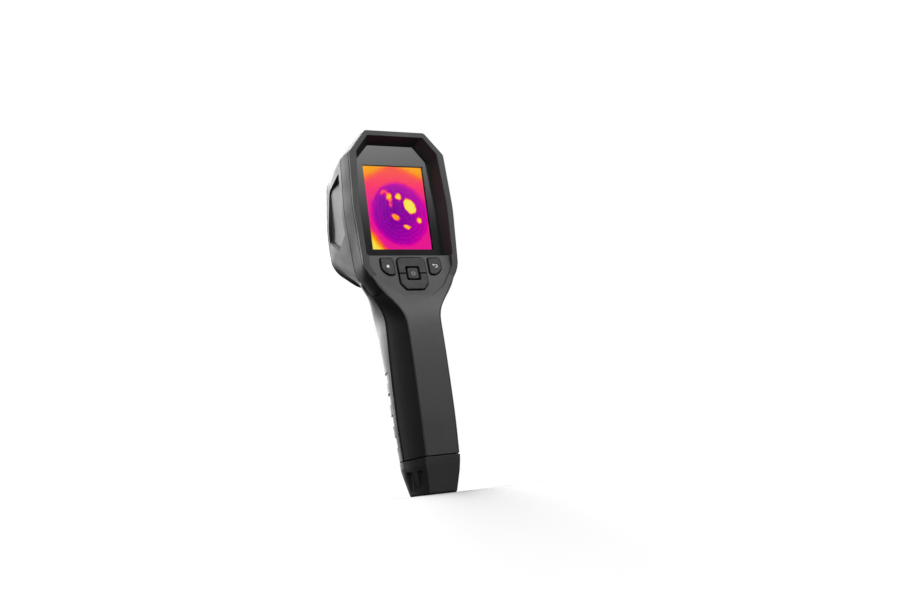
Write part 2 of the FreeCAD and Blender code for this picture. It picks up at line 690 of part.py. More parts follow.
def chassis():
    """The inner frame that carries the screen, the boards and the infrared core."""
    far = CHASSIS_NEAR + CHASSIS_T
    plate = box((-BOARD_HALF_W, BOARD_HALF_W), (CHASSIS_NEAR, far), (137.0, 198.0))
    shape = plate.cut(box((-15.0, 15.0), (CHASSIS_NEAR - 1.0, far + 1.0), (143.0, 168.0)))
    for x, z in post_places():
        shape = shape.fuse(tube(x, far - 0.1, z, POST_R, SCREW_R, BOARD_NEAR - far + 0.1))
    return solid(shape)


def main_board():
    board = box((-BOARD_HALF_W, BOARD_HALF_W), (BOARD_NEAR, BOARD_NEAR + BOARD_T), (137.5, 197.5))
    return solid(board.cut([rod(x, BOARD_NEAR - 1.0, z, 1.4, 4.0) for x, z in post_places()]))


def board_parts():
    """Shield cans and chips on the main board: x, thickness and height of each."""
    chips = [((-18, -2), 2.5, (170.0, 190.0)), ((3, 17), 1.5, (150.0, 164.0)),
             ((-16, -6), 1.2, (148.0, 158.0)), ((4, 12), 1.8, (174.0, 182.0))]
    near = BOARD_NEAR + BOARD_T
    return Part.makeCompound([box(x, (near, near + thick), z) for x, thick, z in chips])


def chassis_screws():
    screws = []
    near = BOARD_NEAR + BOARD_T
    for x, z in post_places():
        shank = rod(x, near - 5.5, z, SCREW_R - BORE_ROOM, 5.6)
        head_part = rod(x, near, z, 2.0, 1.4)
        screws.append(solid(shank.fuse(head_part)))
    return Part.makeCompound(screws)


def display_flex():
    """The flat cable from the screen to the main board."""
    return box((-6.0, 6.0), (11.0, 18.0), (136.2, 136.4))


def ir_core():
    """The infrared sensor's housing behind the lens."""
    block = box((-CORE_HALF, CORE_HALF), (25.0, 35.4), (LENS_Z - CORE_HALF, LENS_Z + CORE_HALF))
    return solid(block.cut(rod(0, 31.0, LENS_Z, LENS_R - 0.6, 8.0)))


def ir_board():
    return box((-11.0, 11.0), (23.4, 24.9), (LENS_Z - 12.0, LENS_Z + 11.0))


def front_board():
    """The small board behind the sensor panel that carries the laser, light and camera."""
    far = FRONT_BOARD_NEAR + FRONT_BOARD_T
    return box((-15.0, 15.0), (FRONT_BOARD_NEAR, far), (142.0, 161.8))


def round_window(side):
    """A cover window, set a little back in the sensor panel."""
    return rod(side * WINDOW_X, PANEL_FRONT - 1.9, WINDOW_Z, WINDOW_R - BORE_ROOM, 1.2)


def window_module(side, half, thickness, barrel_r, barrel_l):
    """A square block on the front board with a round nose behind its window."""
    near = FRONT_BOARD_NEAR + FRONT_BOARD_T
    x = side * WINDOW_X
    block = box((x - half, x + half), (near, near + thickness), (WINDOW_Z - half, WINDOW_Z + half))
    return solid(block.fuse(rod(x, near + thickness - 0.1, WINDOW_Z, barrel_r, barrel_l)))


def laser_module():
    """The laser pointer's round body, its aperture just behind the panel's hole."""
    body = rod(0, FRONT_BOARD_NEAR + FRONT_BOARD_T + 0.1, LASER_Z, LASER_R - 0.1, 13.6)
    return solid(body.cut(rod(0, 46.0, LASER_Z, 1.1, 6.0)))


def nose_seal():
    """The flat gasket behind the sensor panel."""
    outer = front_prism(LIP_EDGE, PANEL_FRONT - PANEL_T - 0.9, PANEL_FRONT - PANEL_T, 1.6)
    return solid(outer.cut(front_prism(LIP_EDGE, 40.0, 60.0, 3.6)))


def battery_pack():
    """The rechargeable cell in the handle, with rounded edges."""
    block = box((-CELL_HALF_W, CELL_HALF_W), CELL_DEPTHS, CELL_ZS)
    upright = [e for e in block.Edges if abs(e.Vertexes[0].Z - e.Vertexes[1].Z) > 1.0]
    return solid(block.makeFillet(3.0, upright))


def battery_cradle():
    """The open tray that holds the battery against the rear cover."""
    def tray(room, near, far):
        half = CELL_HALF_W + room
        return box((-half, half), (near, far), (CELL_ZS[0] - room, CELL_ZS[1] + room))

    near = CELL_DEPTHS[0] - CELL_ROOM
    return solid(tray(CRADLE_WALL, near - 1.05, 12.0).cut(tray(CELL_ROOM, near, 30.0)))


def battery_leads():
    """Two insulated leads from the battery up to the main board."""
    low = CELL_ZS[1] + CELL_ROOM
    return Part.makeCompound([Part.makeCylinder(LEAD_R, 64.0, point(x, 13.2, low)) for x in (-6.0, 6.0)])


def trigger():
    """The trigger: a rounded paddle with an arm inside and a bored ear for its pin."""
    half = TRIGGER_W / 2
    back = TRIGGER_PIN_DEPTH + 1.6
    corners = mirrored([(half, TRIGGER_TOP, 3.6), (half, TRIGGER_LOW, 3.6)])
    wire = rounded_wire(corners, lambda a, b: point(a, back, b))
    paddle = Part.Face(wire).extrude(V(0, back - TRIGGER_FRONT, 0))
    face = side_prism([(20, 70), (TRIGGER_FRONT - 2.6, 82.0), (TRIGGER_FRONT, 104.0),
                       (TRIGGER_FRONT - 1.0, 111.0), (20, 112.0)])
    paddle = paddle.common(face)
    front = [e for e in paddle.Edges if all(v.Point.y < RIM_Y - 36.0 for v in e.Vertexes)]
    paddle = paddle.makeFillet(2.2, front)
    ear = trigger_bore(3.4, half - 0.5)
    arm = box((-3.0, 3.0), (TRIGGER_PIN_DEPTH, 34.0), (TRIGGER_PIN_Z - 3.4, TRIGGER_PIN_Z + 3.0))
    hole = trigger_bore(TRIGGER_PIN_R + RUNNING, 20.0)
    return solid(paddle.fuse([ear, arm]).cut(hole))


def trigger_bore(radius, reach=9.4):
    """A bar along the trigger's pin."""
    return Part.makeCylinder(radius, 2 * reach, point(-reach, TRIGGER_PIN_DEPTH, TRIGGER_PIN_Z), V(1, 0, 0))


def trigger_pin():
    return trigger_bore(TRIGGER_PIN_R, 9.3)


def trigger_mount():
    """Two walls inside the handle that carry the trigger's pin; they are part of the body."""
    walls = []
    for side in (1, -1):
        low, high = sorted((side * (TRIGGER_W / 2 + 0.9), side * 16.0))
        walls.append(box((low, high), (26.5, 40.0), (102.5, 110.5)))
    return walls


def trigger_switch():
    return box((-4.0, 4.0), (16.5, 23.0), (88.0, 99.0))


def trigger_spring():
    """The coil that pushes the trigger out."""
    helix = Part.makeHelix(1.25, 7.5, 2.2)
    profile = Part.Wire(Part.makeCircle(0.3, V(2.2, 0, 0), V(0, 1, 0)))
    coil = Part.Wire(helix).makePipeShell([profile], True, True)
    coil.rotate(V(0, 0, 0), V(1, 0, 0), 90)
    coil.translate(point(0, 23.4, 91.0))
    return coil.Solids[0] if coil.Solids else Part.Solid(coil)


def end_cap():
    """The tapered foot of the handle, with the lanyard slot and the tripod insert's pocket."""
    outer = loft([grip_wire(station) for station in CAP], True)
    shape = outer.cut(above_seam(0.0))
    floor = [e for e in shape.Edges if all(v.Z < 0.01 for v in e.Vertexes)]
    shape = shape.makeFillet(1.8, floor)
    hollow = loft([grip_wire((z, w - 2.6, facet - 2.0, back + 2.6, parting, front - 2.6, k))
                   for z, w, facet, back, parting, front, k in CAP], True)
    hollow = hollow.common(box((-30, 30), (-30, 60), (13.6, 40)))
    shape = shape.cut(hollow)
    insert = Part.makeCylinder(INSERT_R, 30, V(0, 0, -1))
    shape = shape.cut(insert)
    shape = shape.cut(lanyard_slot())
    for x in (-CAP_SCREW_X, CAP_SCREW_X):
        hole = Part.makeCylinder(CAP_SCREW_R + 0.1, 40, V(x, 0, -1))
        recess = Part.makeCylinder(2.4, 3.0, V(x, 0, -1))
        shape = shape.cut([hole, recess])
    return solid(shape)


def lanyard_slot():
    """The cutter for the lanyard slot: a pocket in one flank of the cap, round an upright post."""
    corners = [(25.1, -10.4, 1.0), (11.0, -1.0, 0.3), (7.7, 1.8, 0.8), (12.5, 9.2, 0.8), (16.3, 7.2, 0.3),
               (25.1, 2.6, 1.0)]
    wire = rounded_wire(corners, lambda x, d: point(x, d, SLOT_LOW_Z))
    pocket_block = Part.Face(wire).extrude(V(0, 0, SLOT_HIGH_Z - SLOT_LOW_Z))
    post = Part.makeCylinder(1.35, 30.0, point(12.4, 4.0, 0.0))
    return pocket_block.cut(post)


def tripod_insert():
    """The brass insert with the 1/4-20 thread."""
    body = Part.makeCylinder(INSERT_R, THREAD_L + 2.0, V(0, 0, 0))
    return solid(body.cut(Part.makeCylinder(THREAD_R, THREAD_L, V(0, 0, 0))))


def cap_screws():
    screws = []
    for x in (-CAP_SCREW_X, CAP_SCREW_X):
        head_part = Part.makeCylinder(2.2, 1.6, V(x, 0, 0.4))
        shank = Part.makeCylinder(CAP_SCREW_R, 13.0, V(x, 0, 1.9))
        slot = Part.makeBox(3.4, 0.6, 0.8, V(x - 1.7, -0.3, 0))
        screws.append(solid(head_part.fuse(shank).cut(slot)))
    return Part.makeCompound(screws)


def case_screws():
    """The screws that join the rear cover to the body, under the bezel."""
    screws = []
    for x, z, start, _, tip, _ in screw_places():
        head_part = rod(x, start, z, SCREW_HEAD_R, 1.4)
        shank = rod(x, start + 1.3, z, SCREW_R, tip - start - 1.3)
        screws.append(solid(head_part.fuse(shank)))
    return Part.makeCompound(screws)


def port_cover():
    """The rubber flap over the port, flush with the head's top."""
    flap = port_block(0.0, 200.0)
    skin = head()
    lower = head()
    lower.translate(V(0, 0, -FLAP_T))
    return solid(flap.common(skin).cut(lower))


def usb_connector():
    body = box((-4.5, 4.5), (PORT_DEPTH - 1.6, PORT_DEPTH + 1.6), (196.8, 204.2))
    mouth = box((-3.9, 3.9), (PORT_DEPTH - 1.1, PORT_DEPTH + 1.1), (198.2, 206.0))
    tongue = box((-3.3, 3.3), (PORT_DEPTH - 0.35, PORT_DEPTH + 0.35), (198.0, 203.4))
    return solid(body.cut(mouth).fuse(tongue))


def buzzer():
    return rod(16.5, 20.2, 188.0, 4.4, 3.0)


def all_parts():
    """Every sub-part by the name of its node."""
    outer = envelope()
    room = cavity()
    parts = {
        "rear_cover": rear_cover(outer, room),
        "rear_bezel": rear_bezel(outer),
        "body_shell": body_shell(outer, room),
        "nose_ring": nose_ring(),
        "sensor_panel": sensor_panel(),
        "side_panel_left": side_panel(1),
        "side_panel_right": side_panel(-1),
        "display_glass": display_glass(),
        "display_gasket": display_gasket(),
        "display_module": display_module(),
        "display_flex": display_flex(),
        "keypad_mat": key_mat(),
        "key_board": key_board(),
        "chassis": chassis(),
        "chassis_screws": chassis_screws(),
        "main_board": main_board(),
        "board_parts": board_parts(),
        "lens_barrel": lens_barrel(),
        "lens_retainer": lens_retainer(),
        "ir_lens": ir_lens(),
        "lens_oring": lens_oring(),
        "ir_core": ir_core(),
        "ir_board": ir_board(),
        "front_board": front_board(),
        "camera_window": round_window(-1),
        "camera_module": window_module(-1, 4.3, 5.6, 3.2, 5.5),
        "led_window": round_window(1),
        "led_module": window_module(1, 3.5, 1.6, 2.4, 8.0),
        "laser_module": laser_module(),
        "nose_seal": nose_seal(),
        "battery_pack": battery_pack(),
        "battery_cradle": battery_cradle(),
        "battery_leads": battery_leads(),
        "trigger": trigger(),
        "trigger_pin": trigger_pin(),
        "trigger_spring": trigger_spring(),
        "trigger_switch": trigger_switch(),
        "end_cap": end_cap(),
        "tripod_insert": tripod_insert(),
        "cap_screws": cap_screws(),
        "case_screws": case_screws(),
        "port_cover": port_cover(),
        "usb_connector": usb_connector(),
        "buzzer": buzzer()}
    for name in key_outlines():
        parts[name] = key(name)
    return parts


def main():
    os.makedirs("parts", exist_ok=True)
    for name, shape in all_parts().items():
        shape.exportStep(os.path.join("parts", name + ".step"))
        print(name, shape.ShapeType, len(shape.Solids), shape.isValid(), round(shape.Volume, 1))


main()
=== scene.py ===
"""A hand-held thermal imaging camera: materials, printed details, studio and camera."""
import bpy
import bmesh
import json
import math
from mathutils import Matrix, Vector


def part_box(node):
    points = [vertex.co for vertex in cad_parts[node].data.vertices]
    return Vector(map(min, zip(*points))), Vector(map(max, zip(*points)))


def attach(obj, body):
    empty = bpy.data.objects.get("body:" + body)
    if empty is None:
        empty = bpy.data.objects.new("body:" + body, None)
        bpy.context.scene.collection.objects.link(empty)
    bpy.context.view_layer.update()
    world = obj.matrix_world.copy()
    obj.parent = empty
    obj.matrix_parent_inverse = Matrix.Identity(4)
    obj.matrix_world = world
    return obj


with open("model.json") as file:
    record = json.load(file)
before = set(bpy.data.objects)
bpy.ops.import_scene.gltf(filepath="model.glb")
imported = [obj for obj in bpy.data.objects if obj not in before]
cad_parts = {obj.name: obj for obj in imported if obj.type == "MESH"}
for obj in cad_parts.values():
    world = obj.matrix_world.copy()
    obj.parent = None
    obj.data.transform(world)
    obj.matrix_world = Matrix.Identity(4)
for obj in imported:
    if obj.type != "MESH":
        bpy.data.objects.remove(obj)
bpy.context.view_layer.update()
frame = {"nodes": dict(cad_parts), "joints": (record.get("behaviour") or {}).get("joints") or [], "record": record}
nodes = frame["nodes"]
MM = 0.001


# ---------------------------------------------------------------- node graphs
class Graph:
    """A short way to write a node tree."""

    def __init__(self, tree):
        self.tree = tree
        tree.nodes.clear()

    def node(self, kind, **values):
        made = self.tree.nodes.new(kind)
        for key, value in values.items():
            setattr(made, key, value)
        return made

    def feed(self, socket, value):
        if hasattr(value, "is_output"):
            self.tree.links.new(value, socket)
        else:
            socket.default_value = value

    def math(self, operation, a, b=0.0):
        made = self.node("ShaderNodeMath", operation=operation)
        for socket, value in zip(made.inputs, (a, b)):
            self.feed(socket, value)
        return made.outputs[0]

    def ramp(self, value, low, high, start=0.0, end=1.0, kind="SMOOTHSTEP"):
        """Maps low..high of a value to start..end, smoothly and clamped."""
        made = self.node("ShaderNodeMapRange", interpolation_type=kind)
        for socket, given in zip(made.inputs, (value, low, high, start, end)):
            self.feed(socket, given)
        return made.outputs[0]

    def colours(self, value, stops):
        made = self.node("ShaderNodeValToRGB")
        band = made.color_ramp
        band.interpolation = "LINEAR"
        while len(band.elements) < len(stops):
            band.elements.new(0.5)
        for element, (place, colour) in zip(band.elements, stops):
            element.position = place
            element.color = (*colour, 1.0)
        self.feed(made.inputs[0], value)
        return made.outputs[0]

    def mix(self, amount, a, b):
        """Mixes two colours."""
        made = self.node("ShaderNodeMix", data_type="RGBA")
        self.feed(made.inputs[0], amount)
        for socket, value in ((made.inputs[6], a), (made.inputs[7], b)):
            self.feed(socket, value if hasattr(value, "is_output") else (*value, 1.0))
        return made.outputs[2]

    def place(self):
        """The shaded point in the CAD frame, in metres."""
        return self.node("ShaderNodeTexCoord").outputs["Object"]

    def axes(self, vector):
        made = self.node("ShaderNodeSeparateXYZ")
        self.feed(made.inputs[0], vector)
        return made.outputs

    def noise(self, size, detail=2.0, vector=None, roughness=0.5):
        """A noise whose grains are about this large, in millimetres."""
        made = self.node("ShaderNodeTexNoise")
        self.feed(made.inputs["Vector"], vector or self.place())
        made.inputs["Scale"].default_value = 1.0 / (size * MM)
        made.inputs["Detail"].default_value = detail
        made.inputs["Roughness"].default_value = roughness
        return made.outputs["Fac"]

    def cells(self, size, feature="F1"):
        made = self.node("ShaderNodeTexVoronoi", feature=feature)
        self.feed(made.inputs["Vector"], self.place())
        made.inputs["Scale"].default_value = 1.0 / (size * MM)
        return made.outputs["Distance"]

    def bump(self, height, depth, strength=1.0, normal=None):
        """A bump whose full height is this deep, in millimetres."""
        made = self.node("ShaderNodeBump")
        made.inputs["Strength"].default_value = strength
        made.inputs["Distance"].default_value = depth * MM
        self.feed(made.inputs["Height"], height)
        if normal:
            self.feed(made.inputs["Normal"], normal)
        return made.outputs[0]

    def soft_edges(self, radius):
        """A normal that rounds the model's edges, in millimetres."""
        made = self.node("ShaderNodeBevel", samples=4)
        made.inputs["Radius"].default_value = radius * MM
        return made.outputs[0]

    def openness(self, reach, low, high, least):
        """1 in the open, falling to least where surfaces within this reach, in millimetres, shut
        the light out."""
        made = self.node("ShaderNodeAmbientOcclusion", samples=8)
        made.inputs["Distance"].default_value = reach * MM
        return self.ramp(made.outputs["AO"], low, high, least, 1.0)

    def surface(self, shader):
        out = self.node("ShaderNodeOutputMaterial")
        self.feed(out.inputs["Surface"], shader)

    def principled(self, colour, roughness, normal=None, **others):
        made = self.node("ShaderNodeBsdfPrincipled")
        self.feed(made.inputs["Base Color"], colour if hasattr(colour, "is_output") else (*colour, 1.0))
        self.feed(made.inputs["Roughness"], roughness)
        if normal:
            self.feed(made.inputs["Normal"], normal)
        for name, value in others.items():
            self.feed(made.inputs[name.replace("_", " ")], value)
        return made.outputs[0]


def graph(name):
    made = bpy.data.materials.new(name)
    made.use_nodes = True
    return made, Graph(made.node_tree)


def shade(g, base, amount, size):
    """A base colour that varies softly by this amount over patches of this size."""
    low = [c * (1 - amount) for c in base]
    high = [c * (1 + amount) for c in base]
    return g.mix(g.noise(size, 3.0), low, high)


# ------------------------------------------------------------------ materials
MOULD_EDGE = 0.35    # mm, how far the render rounds a moulded edge
RUBBER_EDGE = 0.25   # mm, the same on rubber
SPECKLE = 0.12       # the most that pale speckle lightens moulded plastic


def moulded(name, base, roughness, grain=0.32, depth=0.018):
    """Spark-textured moulded plastic: fine pits, faint speckle, rubbed patches, and painted shade that darkens its
    seams, gaps and crevices.
    """
    made, g = graph(name)
    fine = g.noise(grain, 2.0)
    broad = shade(g, base, 0.07, 26.0)
    speckle_and_shade = g.mix(g.ramp(fine, 0.42, 0.66, 0.0, SPECKLE), broad, [min(1.0, 2.2 * c) for c in base])
    rough = g.math("ADD", g.ramp(g.noise(14.0, 3.0), 0.3, 0.7, roughness - 0.04, roughness + 0.04),
                   g.math("MULTIPLY", fine, 0.06))
    pits = g.math("ADD", g.cells(grain * 1.6), g.math("MULTIPLY", fine, 0.7))
    # Painted shade: the base colour falls to 0.15 of itself where surfaces within 1.4 mm shut out light, in seams,
    # gaps and crevices; these places are also made rougher
    painted_seam_shade = g.openness(1.4, 0.3, 0.75, 0.0)
    speckle_and_shade = g.mix(painted_seam_shade, [0.15 * c for c in base], speckle_and_shade)
    rough = g.math("ADD", rough, g.math("MULTIPLY", g.math("SUBTRACT", 1.0, painted_seam_shade), 0.35))
    g.surface(g.principled(speckle_and_shade, rough, g.bump(pits, depth, 1.0, g.soft_edges(MOULD_EDGE))))
    return made


def smooth(name, base, roughness, edge=0.2, depth=0.002, spots=1.0, **others):
    """Smooth moulded plastic with a faint ripple and small rubbed spots."""
    made, g = graph(name)
    glossy, dull = roughness * (1 - 0.15 * spots), roughness * (1 + 0.2 * spots)
    rough = g.ramp(g.noise(5.0, 4.0), 0.35, 0.7, glossy, dull)
    normal = g.bump(g.noise(1.6, 2.0), depth, 1.0, g.soft_edges(edge))
    g.surface(g.principled(shade(g, base, 0.08 * spots, 9.0), rough, normal, **others))
    return made


def rubber(name, base, roughness=0.62):
    made, g = graph(name)
    fine = g.noise(0.18, 2.0)
    rough = g.ramp(g.noise(3.0, 3.0), 0.3, 0.7, roughness - 0.05, roughness + 0.06)
    normal = g.bump(fine, 0.008, 1.0, g.soft_edges(RUBBER_EDGE))
    g.surface(g.principled(shade(g, base, 0.1, 4.0), rough, normal))
    return made


def metal(name, base, roughness, centre=None):
    """Turned or drawn metal; with a centre, the tool marks are rings round it."""
    made, g = graph(name)
    where = g.place()
    if centre:
        moved = g.node("ShaderNodeVectorMath", operation="SUBTRACT")
        g.feed(moved.inputs[0], where)
        moved.inputs[1].default_value = centre
        x, _, z = g.axes(moved.outputs[0])
        radius = g.math("SQRT", g.math("ADD", g.math("MULTIPLY", x, x), g.math("MULTIPLY", z, z)))
        marks = g.math("SINE", g.math("MULTIPLY", radius, 2 * math.pi / (0.22 * MM)))
    else:
        stretched = g.node("ShaderNodeMapping")
        g.feed(stretched.inputs["Vector"], where)
        stretched.inputs["Scale"].default_value = (1.0, 1.0, 0.08)
        marks = g.noise(0.12, 2.0, stretched.outputs[0])
    rough = g.ramp(g.noise(1.2, 3.0), 0.3, 0.7, roughness * 0.8, roughness * 1.25)
    g.surface(g.principled(shade(g, base, 0.08, 2.5), rough, g.bump(marks, 0.003, 0.6, g.soft_edges(0.1)),
                           Metallic=1.0))
    return made


def board(name):
    """Solder mask with faint copper tracks and plated holes."""
    made, g = graph(name)
    tracks = g.ramp(g.cells(2.6, "DISTANCE_TO_EDGE"), 0.03, 0.09, 1.0, 0.0)
    pads = g.ramp(g.cells(1.9), 0.12, 0.16, 1.0, 0.0)
    colour = g.mix(g.math("MULTIPLY", tracks, 0.6), (0.012, 0.10, 0.045), (0.03, 0.22, 0.09))
    colour = g.mix(pads, colour, (0.45, 0.42, 0.32))
    g.surface(g.principled(colour, g.ramp(pads, 0.0, 1.0, 0.32, 0.45), g.bump(tracks, 0.03, 0.7)))
    return made


def clear_sheet(g, tint, roughness, gloss_share=1.0):
    """Thin clear glass: what is behind shows through, with gloss by angle."""
    through = g.node("ShaderNodeBsdfTransparent")
    through.inputs[0].default_value = (tint, tint, tint, 1.0)
    gloss = g.node("ShaderNodeBsdfGlossy")
    gloss.inputs["Roughness"].default_value = roughness
    fresnel = g.node("ShaderNodeFresnel")
    fresnel.inputs["IOR"].default_value = 1.45
    share = g.math("MULTIPLY", fresnel.outputs[0], gloss_share)
    return mixed(g, share, through.outputs[0], gloss.outputs[0])


def mixed(g, amount, first, second):
    made = g.node("ShaderNodeMixShader")
    g.feed(made.inputs[0], amount)
    g.feed(made.inputs[1], first)
    g.feed(made.inputs[2], second)
    return made.outputs[0]


SCREEN_RIM = 2.8     # mm, the dark rim of the screen module round its lit part


def screen_place():
    """The middle of the lit picture and its half sizes, from the screen module's box."""
    low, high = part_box("display_module")
    centre = (low + high) / 2
    rim = SCREEN_RIM * MM
    return centre, (high.x - low.x) / 2 - rim, (high.z - low.z) / 2 - rim


def cover_glass():
    """Printed black on the back, clear and coated against reflections over the picture."""
    made, g = graph("cover_glass")
    centre, half_w, half_h = screen_place()
    x, _, z = g.axes(g.place())
    dx = g.math("SUBTRACT", g.math("ABSOLUTE", g.math("SUBTRACT", x, centre.x)), half_w + 0.1 * MM)
    dz = g.math("SUBTRACT", g.math("ABSOLUTE", g.math("SUBTRACT", z, centre.z)), half_h + 0.1 * MM)
    outside = g.ramp(g.math("MAXIMUM", dx, dz), 0.0, 0.12 * MM, kind="LINEAR")
    smudge = g.ramp(g.noise(18.0, 4.0), 0.35, 0.75, 0.09, 0.13)
    ink = g.principled(shade(g, (0.006, 0.006, 0.0065), 0.15, 12.0), smudge,
                       g.bump(g.noise(0.4, 2.0), 0.0006), Coat_Weight=0.6, Coat_Roughness=0.06)
    g.surface(mixed(g, outside, clear_sheet(g, 0.97, 0.05, 0.15), ink))
    return made


def window_glass(name, split):
    """A small round window; a band of its filter is lighter across one corner."""
    made, g = graph(name)
    low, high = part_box(name)
    middle = (low + high) / 2
    x, _, z = g.axes(g.place())
    across = g.math("ADD", g.math("SUBTRACT", x, middle.x), g.math("SUBTRACT", z, middle.z))
    side = g.ramp(across, -0.25 * MM, 0.25 * MM) if split else g.ramp(g.noise(6.0), 0.3, 0.7, 0.0, 0.25)
    grey = g.mix(g.noise(0.6, 2.0), (0.30, 0.31, 0.33), (0.36, 0.37, 0.39))
    film = g.principled(grey, 0.22, Coat_Weight=1.0)
    g.surface(mixed(g, g.math("MULTIPLY", side, 0.55), clear_sheet(g, 0.8, 0.04), film))
    return made


def coated_lens():
    """Infrared glass: opaque, dark, with a blue and pink reflection from its coating."""
    made, g = graph("coated_lens")
    facing = g.node("ShaderNodeLayerWeight")
    facing.inputs["Blend"].default_value = 0.35
    sheen = g.colours(facing.outputs["Facing"], [(0.0, (0.06, 0.10, 0.34)), (0.25, (0.16, 0.14, 0.55)),
                                                 (0.5, (0.62, 0.25, 0.5)), (0.8, (0.75, 0.6, 0.5))])
    cloudy = g.mix(g.ramp(g.noise(2.4, 3.0), 0.4, 0.8, 0.0, 0.25), sheen, (0.2, 0.2, 0.32))
    g.surface(g.principled(cloudy, g.ramp(g.noise(1.0, 2.0), 0.3, 0.7, 0.07, 0.12),
                           g.bump(g.noise(0.5, 1.0), 0.0004), Metallic=0.85))
    return made


PATCH = (1.8, -3.6)  # mm, the middle of the cool patch from the middle of the screen
RING_PITCH = 2.3     # mm between the patch's faint rings
RING_GAIN = 0.04


def picture(name):
    """The lit thermal picture: a cool round patch with hot spots on a warm ground."""
    made, g = graph(name)
    centre, half_w, half_h = screen_place()
    x, _, z = g.axes(g.place())
    u = g.math("MULTIPLY", g.math("SUBTRACT", centre.x, x), 1.0 / MM)
    v = g.math("MULTIPLY", g.math("SUBTRACT", z, centre.z), 1.0 / MM)
    wobble = g.math("MULTIPLY", g.math("SUBTRACT", g.noise(5.0, 2.0), 0.5), 2.4)
    u = g.math("ADD", u, wobble)
    v = g.math("SUBTRACT", v, g.math("MULTIPLY", g.math("SUBTRACT", g.noise(3.6, 2.0), 0.5), 2.4))

    def blob(cu, cv, ru, rv, turn, soft):
        """1 inside an ellipse, falling to 0 outside it over a soft band."""
        c, s = math.cos(math.radians(turn)), math.sin(math.radians(turn))
        du, dv = g.math("SUBTRACT", u, cu), g.math("SUBTRACT", v, cv)
        a = g.math("ADD", g.math("MULTIPLY", du, c / ru), g.math("MULTIPLY", dv, s / ru))
        b = g.math("SUBTRACT", g.math("MULTIPLY", dv, c / rv), g.math("MULTIPLY", du, s / rv))
        far = g.math("SQRT", g.math("ADD", g.math("MULTIPLY", a, a), g.math("MULTIPLY", b, b)))
        return g.ramp(far, 1.0 - soft, 1.0 + soft, 1.0, 0.0)

    warmth = g.ramp(v, -4.0, 30.0, 0.50, 0.70)
    arch = g.math("SUBTRACT", v, g.math("MULTIPLY", g.math("ABSOLUTE", u), -0.55))
    warmth = g.math("ADD", warmth, g.ramp(arch, 24.0, 31.0, 0.0, 0.14))
    corner = g.ramp(g.math("ADD", u, g.math("MULTIPLY", v, 0.75)), -34.0, -25.5, 0.48, 0.0)
    warmth = g.math("ADD", warmth, corner)
    disc = blob(*PATCH, 17.6, 18.6, 12.0, 0.10)
    inner = blob(*PATCH, 11.0, 12.0, 12.0, 0.75)
    cool = g.math("SUBTRACT", 0.30, g.math("MULTIPLY", inner, 0.12))
    cool = g.math("ADD", cool, g.math("MULTIPLY", g.math("SUBTRACT", g.noise(1.9, 4.0), 0.5), 0.24))
    edge = g.ramp(u, -12.0, 19.0, 0.0, 0.10)
    cool = g.math("ADD", cool, edge)
    du = g.math("SUBTRACT", u, PATCH[0])
    dv = g.math("SUBTRACT", v, PATCH[1])
    radius = g.math("SQRT", g.math("ADD", g.math("MULTIPLY", du, du), g.math("MULTIPLY", dv, dv)))
    wave = g.math("SINE", g.math("MULTIPLY", radius, 2 * math.pi / RING_PITCH))
    rings = g.math("MULTIPLY", wave, RING_GAIN)
    cool = g.math("ADD", cool, rings)
    around = g.math("MULTIPLY", warmth, g.math("SUBTRACT", 1.0, disc))
    heat = g.math("ADD", around, g.math("MULTIPLY", cool, disc))
    spots = [(-4.4, 6.6, 1.8, 2.8, 10, 0.5, 0.62), (1.6, 6.8, 1.9, 2.0, 0, 0.45, 0.70),
             (8.4, 1.2, 3.4, 4.7, 28, 0.22, 0.92), (-1.6, -5.4, 3.0, 1.7, -30, 0.45, 0.62),
             (5.0, -11.2, 2.4, 1.3, -8, 0.5, 0.66), (13.2, -7.4, 1.8, 1.5, 30, 0.5, 0.62),
             (-7.6, 9.4, 2.6, 1.0, 30, 0.7, 0.40), (-3.6, 2.0, 1.2, 1.6, 0, 0.7, 0.40)]
    for cu, cv, ru, rv, turn, soft, gain in spots:
        heat = g.math("ADD", heat, g.math("MULTIPLY", blob(cu, cv, ru, rv, turn, soft), gain))
    glow = g.colours(heat, [(0.0, (0.05, 0.0, 0.16)), (0.16, (0.16, 0.0, 0.30)),
                            (0.30, (0.36, 0.0, 0.40)), (0.46, (0.78, 0.0, 0.36)),
                            (0.60, (1.0, 0.035, 0.15)), (0.72, (1.0, 0.13, 0.03)),
                            (0.86, (1.0, 0.48, 0.0)), (1.0, (1.0, 0.84, 0.10))])
    lit = g.node("ShaderNodeEmission")
    g.feed(lit.inputs["Color"], glow)
    lit.inputs["Strength"].default_value = 1.0
    g.surface(lit.outputs[0])
    return made


def leads_cover():
    """Red insulation on one lead, black on the other."""
    made, g = graph("lead_insulation")
    x, _, _ = g.axes(g.place())
    colour = g.mix(g.math("GREATER_THAN", x, 0.0), (0.35, 0.012, 0.01), (0.02, 0.02, 0.02))
    g.surface(g.principled(colour, g.ramp(g.noise(1.5, 3.0), 0.3, 0.7, 0.38, 0.5),
                           g.bump(g.noise(0.5, 2.0), 0.01)))
    return made


def wrapped_cell():
    """Shrink wrap over the battery: a blue-grey film with small creases."""
    made, g = graph("battery_wrap")
    creases = g.noise(4.0, 6.0, roughness=0.65)
    g.surface(g.principled(shade(g, (0.10, 0.13, 0.17), 0.1, 12.0), g.ramp(creases, 0.3, 0.7, 0.25, 0.4),
                           g.bump(creases, 0.12), Metallic=0.4))
    return made


def print_ink(name, colour):
    """Printed ink, a little uneven where it sits on the rubber."""
    made, g = graph(name)
    g.surface(g.principled(shade(g, colour, 0.08, 0.5), g.ramp(g.noise(0.4), 0.3, 0.7, 0.45, 0.6),
                           g.bump(g.noise(0.12, 2.0), 0.004)))
    return made


lens_low, lens_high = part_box("ir_lens")
lens_axis = ((lens_low.x + lens_high.x) / 2, 0.0, (lens_low.z + lens_high.z) / 2)

